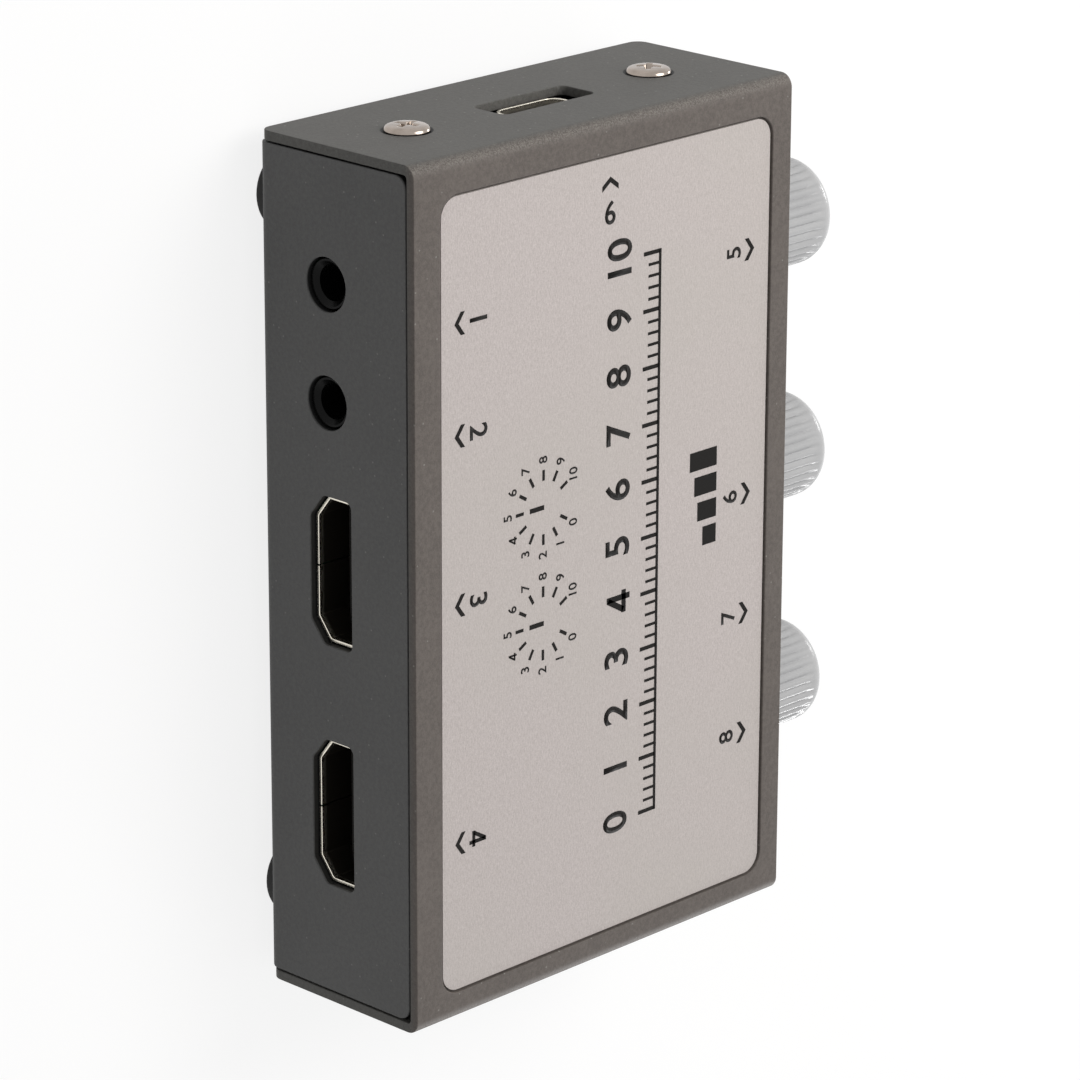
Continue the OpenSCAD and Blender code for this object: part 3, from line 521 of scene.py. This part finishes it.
def softened(node, width_mm):
    """Puts a copy of the node in its place, with its sharp edges rounded by this width."""
    piece = bpy.data.objects.new("dressed_" + node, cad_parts[node].data.copy())
    bpy.context.scene.collection.objects.link(piece)
    only(piece)
    bpy.ops.object.mode_set(mode="EDIT")
    bpy.ops.mesh.select_all(action="SELECT")
    bpy.ops.mesh.remove_doubles(threshold=0.001 * mm)
    bpy.ops.mesh.dissolve_limited(angle_limit=flat_angle)
    bpy.ops.object.mode_set(mode="OBJECT")
    rounding = piece.modifiers.new("rounding", "BEVEL")
    rounding.width, rounding.segments = width_mm * mm, 2
    rounding.limit_method, rounding.angle_limit = "ANGLE", sharp_angle
    rounding.use_clamp_overlap = False
    settle(piece)
    bpy.ops.object.shade_smooth_by_angle(angle=smooth_angle)
    flat = piece.modifiers.new("flat", "WEIGHTED_NORMAL")
    flat.weight, flat.keep_sharp = 100, True
    settle(piece)
    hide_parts(node)
    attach(piece, "enclosure")
    return piece


softened_sheets = (
    ("tray", 0.1, "painted_steel"),
    ("cover", 0.1, "painted_steel"),
    ("video_out_shell", 0.08, "socket_shell"),
    ("video_in_shell", 0.08, "socket_shell"),
    ("host_shell", 0.06, "socket_shell"))
for node, width, slot in softened_sheets:
    sheet = softened(node, width)
    low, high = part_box(node)
    reach = [max(v.co[i] for v in sheet.data.vertices) - high[i] for i in range(3)]
    print(node, "faces:", len(sheet.data.polygons), "reach past the solid:", reach)

# %% [markdown]
# ## Knobs
# A level knob is moulded plastic with 36 shallow valleys round its side. They run out into the
# smooth, rounded front edge, and a short groove in the front face points to the setting. The solid
# has sharp grooves. Here the body is turned with six vertices to a rib, so that a valley, its
# flanks and its shoulders can be drawn in ring by ring, and every valley fades out softly.

# %% Outline of a knob
knob_low, knob_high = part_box("line_knob")
knob_r = (knob_high.x - knob_low.x) / 2 / mm
knob_l = (knob_high.y - knob_low.y) / mm
edge_r = 2.1
bore_r, bore_end = 3.02, 7.8
hollow_r, hollow_end = 4.2, 1.1
back_edge, face_r = 0.3, knob_r - edge_r - 1.6
ribs, steps_to_rib = 36, 6

# Each ring of the side: its height in mm, and the share of the valleys' depth that it gets
side_rings = [(back_edge, 0.5), (1.0, 1.0), (3.5, 1.0), (5.9, 1.0), (6.7, 0.75),
              (knob_l - edge_r, 0.25)]
edge_rings = []
for angle in (12, 24, 36, 48, 60, 72, 90):
    turn = math.radians(angle)
    edge_rings.append((knob_r - edge_r + edge_r * math.cos(turn),
                       knob_l - edge_r + edge_r * math.sin(turn)))
knob_outline = [(0, bore_end), (bore_r, bore_end), (bore_r, hollow_end), (hollow_r, hollow_end),
                (hollow_r, 0), (knob_r - back_edge, 0)]
knob_outline += [(knob_r, height) for height, share in side_rings]
knob_outline += edge_rings + [(face_r, knob_l), (0, knob_l)]
print("knob radius and length in mm:", round(knob_r, 2), round(knob_l, 2))

# %% Turn it and draw in the valleys
valley_depth, flank_depth, shoulder_depth = 0.3, 0.17, 0.03
knob = turned("knob_pattern", knob_outline, ribs * steps_to_rib)


def rib_step(vertex):
    """0 in a valley, 1 on its flanks, 2 on its shoulders and 3 on the crest of a rib."""
    turn = math.atan2(vertex.co.y, vertex.co.x) / (2 * math.pi)
    step = round(turn * ribs * steps_to_rib) % steps_to_rib
    return min(step, steps_to_rib - step)


def draw_in(height, radius, share):
    """Pulls in the valleys, flanks and shoulders at one ring of the side, outside the hollow."""
    for step, depth in enumerate((valley_depth, flank_depth, shoulder_depth)):
        pick(knob, "vertices", lambda v: abs(v.co.z - height * mm) < 0.01 * mm
             and math.hypot(v.co.x, v.co.y) > (hollow_r + 0.3) * mm and rib_step(v) == step)
        pull = 1 - share * depth / radius
        bpy.ops.transform.resize(value=(pull, pull, 1), center_override=(0, 0, 0))


for height, share in side_rings:
    draw_in(height, knob_r, share)
print("knob vertices:", len(knob.data.vertices))

# %% Groove on the front, soft shading, and three places
groove_width, groove_length, groove_depth = 0.6, 2.6, 0.25
groove_end = knob_r - 2.0
groove = block("knob_groove", (groove_width, groove_length, 2 * groove_depth),
               (0, groove_end - groove_length / 2, knob_l))
cut(knob, groove)
bpy.ops.object.shade_smooth_by_angle(angle=smooth_angle)
knobs = {"line_knob": "line_control", "mic_knob": "mic_control", "video_knob": "video_control"}
for node, body in knobs.items():
    low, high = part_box(node)
    middle = Vector(((low.x + high.x) / 2, high.y, (low.z + high.z) / 2))
    seat = Matrix.Translation(middle) @ Matrix.Rotation(math.pi / 2, 4, "X")
    piece = placed(knob, "dressed_" + node, seat)
    wear(knob_skin, piece.name)
    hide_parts(node)
    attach(piece, body)
bpy.data.objects.remove(knob)
print("knobs:", list(knobs))

# %% [markdown]
# ## Cover screws
# The screws are nickel plated, with a raised countersunk head and a cross recess. Polished metal
# shows its shape only by what it mirrors, so the rim of the head and the mouth of the recess need
# real roundings. The recess is cut by a turned pit and by two bars that taper towards its floor,
# and a bevel breaks its edges.

# %% One screw, turned and cut
screw_outline = [(0, -4.6), (0.95, -4.6), (1.25, -4.3), (1.25, -0.82), (2.24, -0.06), (head_r, 0),
                 (2.28, 0.1), (2.24, 0.22), (2.17, 0.34), (2.06, 0.44), (1.9, 0.51), (1.65, 0.56),
                 (1.2, 0.61), (0.6, 0.65), (0, 0.66)]
screw = turned("screw_pattern", screw_outline, sides=48)
arm_length, arm_width, arm_height, floor_height = 2.7, 0.66, 1.2, -0.4
pit_outline = [(0, floor_height - 0.1), (0.3, floor_height), (0.66, 0.8), (0, 0.8)]
cut(screw, turned("recess_pit", pit_outline, sides=24))
for axis in (0, 1):
    size = [arm_width, arm_width, arm_height]
    size[axis] = arm_length
    arm = block("recess_arm", size, (0, 0, floor_height + arm_height / 2))
    pick(arm, "polygons", lambda f: f.normal.z < -0.5)
    narrowed = [0.75, 0.75, 1]
    narrowed[axis] = 0.5
    bpy.ops.transform.resize(value=narrowed, center_override=(0, 0, 0))
    cut(screw, arm)
pick(screw, "vertices", lambda v: True)
bpy.ops.mesh.remove_doubles(threshold=0.01 * mm)
soft = screw.modifiers.new("soft", "BEVEL")
soft.width, soft.segments, soft.limit_method = 0.04 * mm, 2, "ANGLE"
soft.angle_limit, soft.use_clamp_overlap = math.radians(35), False
settle(screw)
bpy.ops.object.shade_smooth_by_angle(angle=math.radians(40))
print("screw faces:", len(screw.data.polygons))

# %% Four screws, each turned a little differently
face_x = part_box("cover")[1].x
turns = {(1, 1): 12, (1, -1): 38, (-1, 1): 65, (-1, -1): 21}
heads = []
for (end, side), turn in turns.items():
    place = Matrix.Translation((end * face_x, side * screw_y * mm, screw_z * mm))
    facing = Matrix.Rotation(end * math.pi / 2, 4, "Y")
    driven = Matrix.Rotation(math.radians(turn), 4, "Z")
    heads.append(placed(screw, f"screw_{end}_{side}", place @ facing @ driven))
bpy.data.objects.remove(screw)
only(heads[0])
for head in heads:
    head.select_set(True)
bpy.ops.object.join()
dressed_screws = bpy.context.object
dressed_screws.name = "dressed_cover_screws"
wear(screw_nickel, dressed_screws.name)
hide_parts("cover_screws")
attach(dressed_screws, "enclosure")
print("screw turns in degrees:", list(turns.values()))

# %% [markdown]
# ## Ink
# The marks on the label are screen printed: a film of black ink with crisp edges and a slight
# gloss. They could be painted by the label's material, but real outlines stay sharp at any
# distance. Each mark is modelled flat on the label and raised by the thickness of the ink.

# %% Ink and where it lies
label_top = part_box("label_plate")[1].z
ink_up = 0.02 * mm
ink = moulded("label_ink", linear(10, 8, 6), linear(18, 15, 13), 0.55, 0.2, 0.004, gloss=0.15)
print("label top in mm:", round(label_top / mm, 3))

# %% A flat mark made thick
marks = []


def printed(name):
    """Raises the active flat mark by the ink's thickness, gives it ink, and keeps it."""
    mark = bpy.context.object
    mark.name = name
    only(mark)
    bpy.ops.object.transform_apply(location=True, rotation=True, scale=True)
    bpy.ops.object.mode_set(mode="EDIT")
    bpy.ops.mesh.select_all(action="SELECT")
    bpy.ops.mesh.normals_make_consistent(inside=False)
    bpy.ops.object.mode_set(mode="OBJECT")
    film = mark.modifiers.new("film", "SOLIDIFY")
    film.thickness = ink_up
    film.offset = 1 if mark.data.polygons[0].normal.z > 0 else -1
    settle(mark)
    wear(ink, mark.name)
    marks.append(mark)


def bar(name, x, y, size_x, size_y, turn=0.0):
    """A printed rectangle: a plane at its place and size in mm, then turned in degrees."""
    bpy.ops.mesh.primitive_plane_add(size=1, location=(x * mm, y * mm, label_top))
    bpy.context.object.scale = (size_x * mm, size_y * mm, 1)
    bpy.context.object.rotation_euler = (0, 0, math.radians(turn))
    printed(name)


print("ink film in mm:", round(ink_up / mm, 3))

# %% [markdown]
# ## Chevrons
# A chevron by every socket and knob, and by the lamp, points to it. Each stroke of a chevron could
# be a bar, with the two meeting at the tip. The corner is cleanest as one outline, so a plane is
# cut in half by a subdivision and its middle edge is slid forwards.

# %% Chevrons that point at the sockets, the knobs and the lamp
def chevron(name, x, y, turn):
    """Points along +X before the turn. The middle of its length is at x, y."""
    reach, half, stroke = 0.85, 1.15, 0.56
    bpy.ops.mesh.primitive_plane_add(size=1, location=(0, 0, 0))
    mark = bpy.context.object
    mark.scale = (stroke * mm, 2 * half * mm, 1)
    bpy.ops.object.transform_apply(location=False, rotation=False, scale=True)
    pick(mark, "edges", lambda e: abs(mark.data.vertices[e.vertices[0]].co.y
                                      - mark.data.vertices[e.vertices[1]].co.y) > half * mm)
    bpy.ops.mesh.subdivide(number_cuts=1)
    pick(mark, "vertices", lambda v: abs(v.co.y) < 0.01 * mm)
    bpy.ops.transform.translate(value=(reach * mm, 0, 0))
    bpy.ops.mesh.select_all(action="SELECT")
    bpy.ops.transform.translate(value=(-reach / 2 * mm, 0, 0))
    bpy.ops.object.mode_set(mode="OBJECT")
    mark.location = (x * mm, y * mm, label_top)
    mark.rotation_euler = (0, 0, math.radians(turn))
    printed(name)


socket_marks = (("headset", 27.6), ("line", 16.4), ("video_out", -0.7), ("video_in", -25.4))
knob_marks = (("line_level", 27.0), ("mic_level", 1.3), ("lamp", -11.6), ("video_level", -24.7))
socket_side_y, knob_side_y, host_y = 20.3, -20.7, -0.35
chevron("mark_host", 37.47, host_y, 0)
for name, x in socket_marks:
    chevron("mark_" + name, x, socket_side_y, 90)
for name, x in knob_marks:
    chevron("mark_" + name, x, knob_side_y, -90)
print("chevrons:", len(marks))

# %% [markdown]
# ## Plain numbers
# The sockets, the knobs and the lamp are numbered. Text is the quick way to a numeral, and it is
# made a mesh before it is placed. Only the 4 is drawn, from three bars, because a bold letter
# outline closes its window. Numbers beside the sockets stand upright for somebody on that side.

# %% Numerals
def four(name, x, y, height, turn, bold):
    """A 4 from three bars, which are placed and sized as shares of its height."""
    stroke = (0.136 + 2 * bold) * height
    for part, across, up, length, tilt in (("stem", 0.14, 0, 1, 90), ("shelf", 0, -0.24, 0.72, 0),
                                           ("slope", -0.075, 0.11, 0.767, 59.4)):
        middle = Matrix.Rotation(math.radians(turn), 2) @ Vector((across, up)) * height
        bar(f"{name}_{part}", x + middle.x, y + middle.y, length * height, stroke, turn + tilt)


digit_share = 0.7


def numeral(name, text, x, y, height, turn=0.0, bold=0.02):
    """A printed number whose middle is at x, y. Its height is in mm, and bold is a share of it."""
    if text == "4":
        four(name, x, y, height, turn, bold)
        return
    bpy.ops.object.text_add(location=(0, 0, 0))
    mark = bpy.context.object
    mark.data.body = text
    mark.data.align_x, mark.data.align_y = "CENTER", "CENTER"
    mark.data.size = height * mm / digit_share
    mark.data.offset = bold * height * mm
    mark.data.resolution_u = 6
    only(mark)
    bpy.ops.object.convert(target="MESH")
    mark = bpy.context.object
    mark.location = (x * mm, y * mm, label_top)
    mark.rotation_euler = (0, 0, math.radians(turn))
    printed(name)


socket_number_h, knob_number_h = 2.3, 2.0
for i, (name, x) in enumerate(socket_marks):
    numeral("number_" + name, str(i + 1), x, 17.9, socket_number_h, turn=180)
for i, (name, x) in enumerate(knob_marks):
    numeral("number_" + name, str(i + 5), x, -18.5, knob_number_h)
numeral("number_host", "9", 34.7, host_y, socket_number_h, turn=90)
print("marks so far:", len(marks))

# %% [markdown]
# ## Level scale and level bars
# The middle of the label carries a long ruled scale with numbers from 0 to 10, and four bars that
# grow towards the loud end. All of them are bars, laid out by a loop.

# %% Scale with numbers
scale_low, scale_high = -29.4, 29.4
step = (scale_high - scale_low) / 10
short_tick, long_tick = (-6.65, 0.3, 1.5), (-6.65 + 0.3, 0.42, 2.3)
line_y, line_width, line_past = -7.55, 0.36, 0.42
for i in range(11):
    numeral(f"scale_{i}", str(i), scale_low + i * step, -1.95, 3.3, bold=0.025)
for i in range(51):
    tick_y, width, length = short_tick if i % 5 else long_tick
    bar(f"tick_{i}", scale_low + i * step / 5, tick_y, width, length)
bar("scale_line", 0, line_y, scale_high - scale_low + line_past, line_width)
print("scale step in mm:", round(step, 2))

# %% Four growing bars
loud_x, bar_step, bar_foot, bar_width = 6.3, 2.72, -16.3, 2.0
for i, height in enumerate((4.0, 3.3, 2.8, 2.0)):
    bar(f"level_bar_{i}", loud_x - i * bar_step, bar_foot + height / 2, bar_width, height)
print("marks:", len(marks))

# %% [markdown]
# ## Dials
# Where the label has room near the sockets, two plain dials show the sweep of a level knob: a ring
# of ticks over 300 degrees with a number at each, and a pointer from the middle.

# %% Dial ticks, numbers and pointer
dial_y, tick_r, number_r, number_h = 8.8, 3.3, 4.9, 1.1
tick_width, tick_length, pointer_width, pointer_length = 0.34, 1.1, 0.5, 2.0
for side, dial_x in (("left", 6.6), ("right", -5.4)):
    for i in range(11):
        angle = 150 - i * 30
        away_x, away_y = -math.sin(math.radians(angle)), math.cos(math.radians(angle))
        bar(f"dial_tick_{side}_{i}", dial_x + away_x * tick_r, dial_y + away_y * tick_r,
            tick_width, tick_length, angle)
        numeral(f"dial_number_{side}_{i}", str(i), dial_x + away_x * number_r,
                dial_y + away_y * number_r, number_h)
    bar(f"dial_pointer_{side}", dial_x, dial_y + 0.9, pointer_width, pointer_length)
print("marks:", len(marks))

# %% One sheet of ink
only(marks[0])
for mark in marks:
    mark.select_set(True)
bpy.ops.object.join()
print_sheet = bpy.context.object
print_sheet.name = "label_print"
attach(print_sheet, "enclosure")
print("ink faces:", len(print_sheet.data.polygons))

# %% [markdown]
# ## Table and light
# The photograph has a white ground and soft light from above. A pale table holds the soft shadow,
# and a wide lamp hangs over the box, a little towards the knobs, so that the side with the sockets
# lies in shade. Two weak lamps stand low on the side of the knobs. The table and the world are
# white to the camera and in mirrored light, and grey as sources of light, so that they don't wash
# the box out. The table lies a hair below the feet, so that no two faces share a plane.

# %% Table
table_grey = (0.26, 0.26, 0.26, 1)
glow, shaded_share = 0.82, (0.18, 0.18, 0.18, 1)
table_width, table_drop = 6, 0.02 * mm
bpy.ops.mesh.primitive_plane_add(size=table_width, location=(0, 0, -table_drop))
table = bpy.context.object
table.name = "table"
table_white = Finish("table_white", Metallic=0.0, Roughness=0.9, Emission_Strength=1.0)
ray = table_white.add("ShaderNodeLightPath", {}, {}, "Is Camera Ray")
gleam = table_white.add("ShaderNodeLightPath", {}, {}, "Is Glossy Ray")
through = table_white.add("ShaderNodeLightPath", {}, {}, "Is Transmission Ray")
looked_at = ray.math("MAXIMUM", ray, gleam.math("MAXIMUM", gleam, through))
table_white.wire(Base_Color=table_white.mix(looked_at, table_grey, shaded_share),
                 Emission_Color=table_white.mix(looked_at, (0, 0, 0, 1), (glow, glow, glow, 1)))
wear(table_white, "table")
print("table:", table.dimensions.x, "m")

# %% World
world = bpy.data.worlds.new("studio")
bpy.context.scene.world = world
world.use_nodes = True
sky = world.node_tree
ways = sky.nodes.new("ShaderNodeLightPath")
seen = ways.outputs["Is Camera Ray"]
for ray_kind in ("Is Glossy Ray", "Is Transmission Ray"):
    either = sky.nodes.new("ShaderNodeMath")
    either.operation = "MAXIMUM"
    sky.links.new(seen, either.inputs[0])
    sky.links.new(ways.outputs[ray_kind], either.inputs[1])
    seen = either.outputs[0]
level = sky.nodes.new("ShaderNodeMapRange")
sky_light, sky_seen = 0.45, 1.0
level.inputs["To Min"].default_value = sky_light
level.inputs["To Max"].default_value = sky_seen
sky.links.new(seen, level.inputs["Value"])
sky.nodes["Background"].inputs["Color"].default_value = (1, 1, 1, 1)
sky.links.new(level.outputs[0], sky.nodes["Background"].inputs["Strength"])
print("world as a light and as seen:", sky_light, sky_seen)


# %% Lamps
def lamp(name, place, size, watts, colour=(1, 1, 1), aim=(0, 0, 0.01)):
    """A round area lamp. Its place, size and aim are in metres."""
    data = bpy.data.lights.new(name, "AREA")
    data.shape, data.size, data.energy, data.color = "DISK", size, watts, colour
    light = bpy.data.objects.new(name, data)
    light.location = place
    light.rotation_euler = (Vector(aim) - Vector(place)).to_track_quat("-Z", "Y").to_euler()
    bpy.context.scene.collection.objects.link(light)


lamp("key", (0.2, -0.12, 0.33), 0.28, 0.85, (1, 0.97, 0.94))
lamp("fill", (-0.4, -0.33, 0.08), 0.15, 0.6)
lamp("edge", (0.1, -0.5, 0.08), 0.14, 0.3)

# %% [markdown]
# ## View transform
# The view transform is Standard, so that colours render as they are written.

# %% Standard view transform
bpy.context.scene.view_settings.view_transform = "Standard"
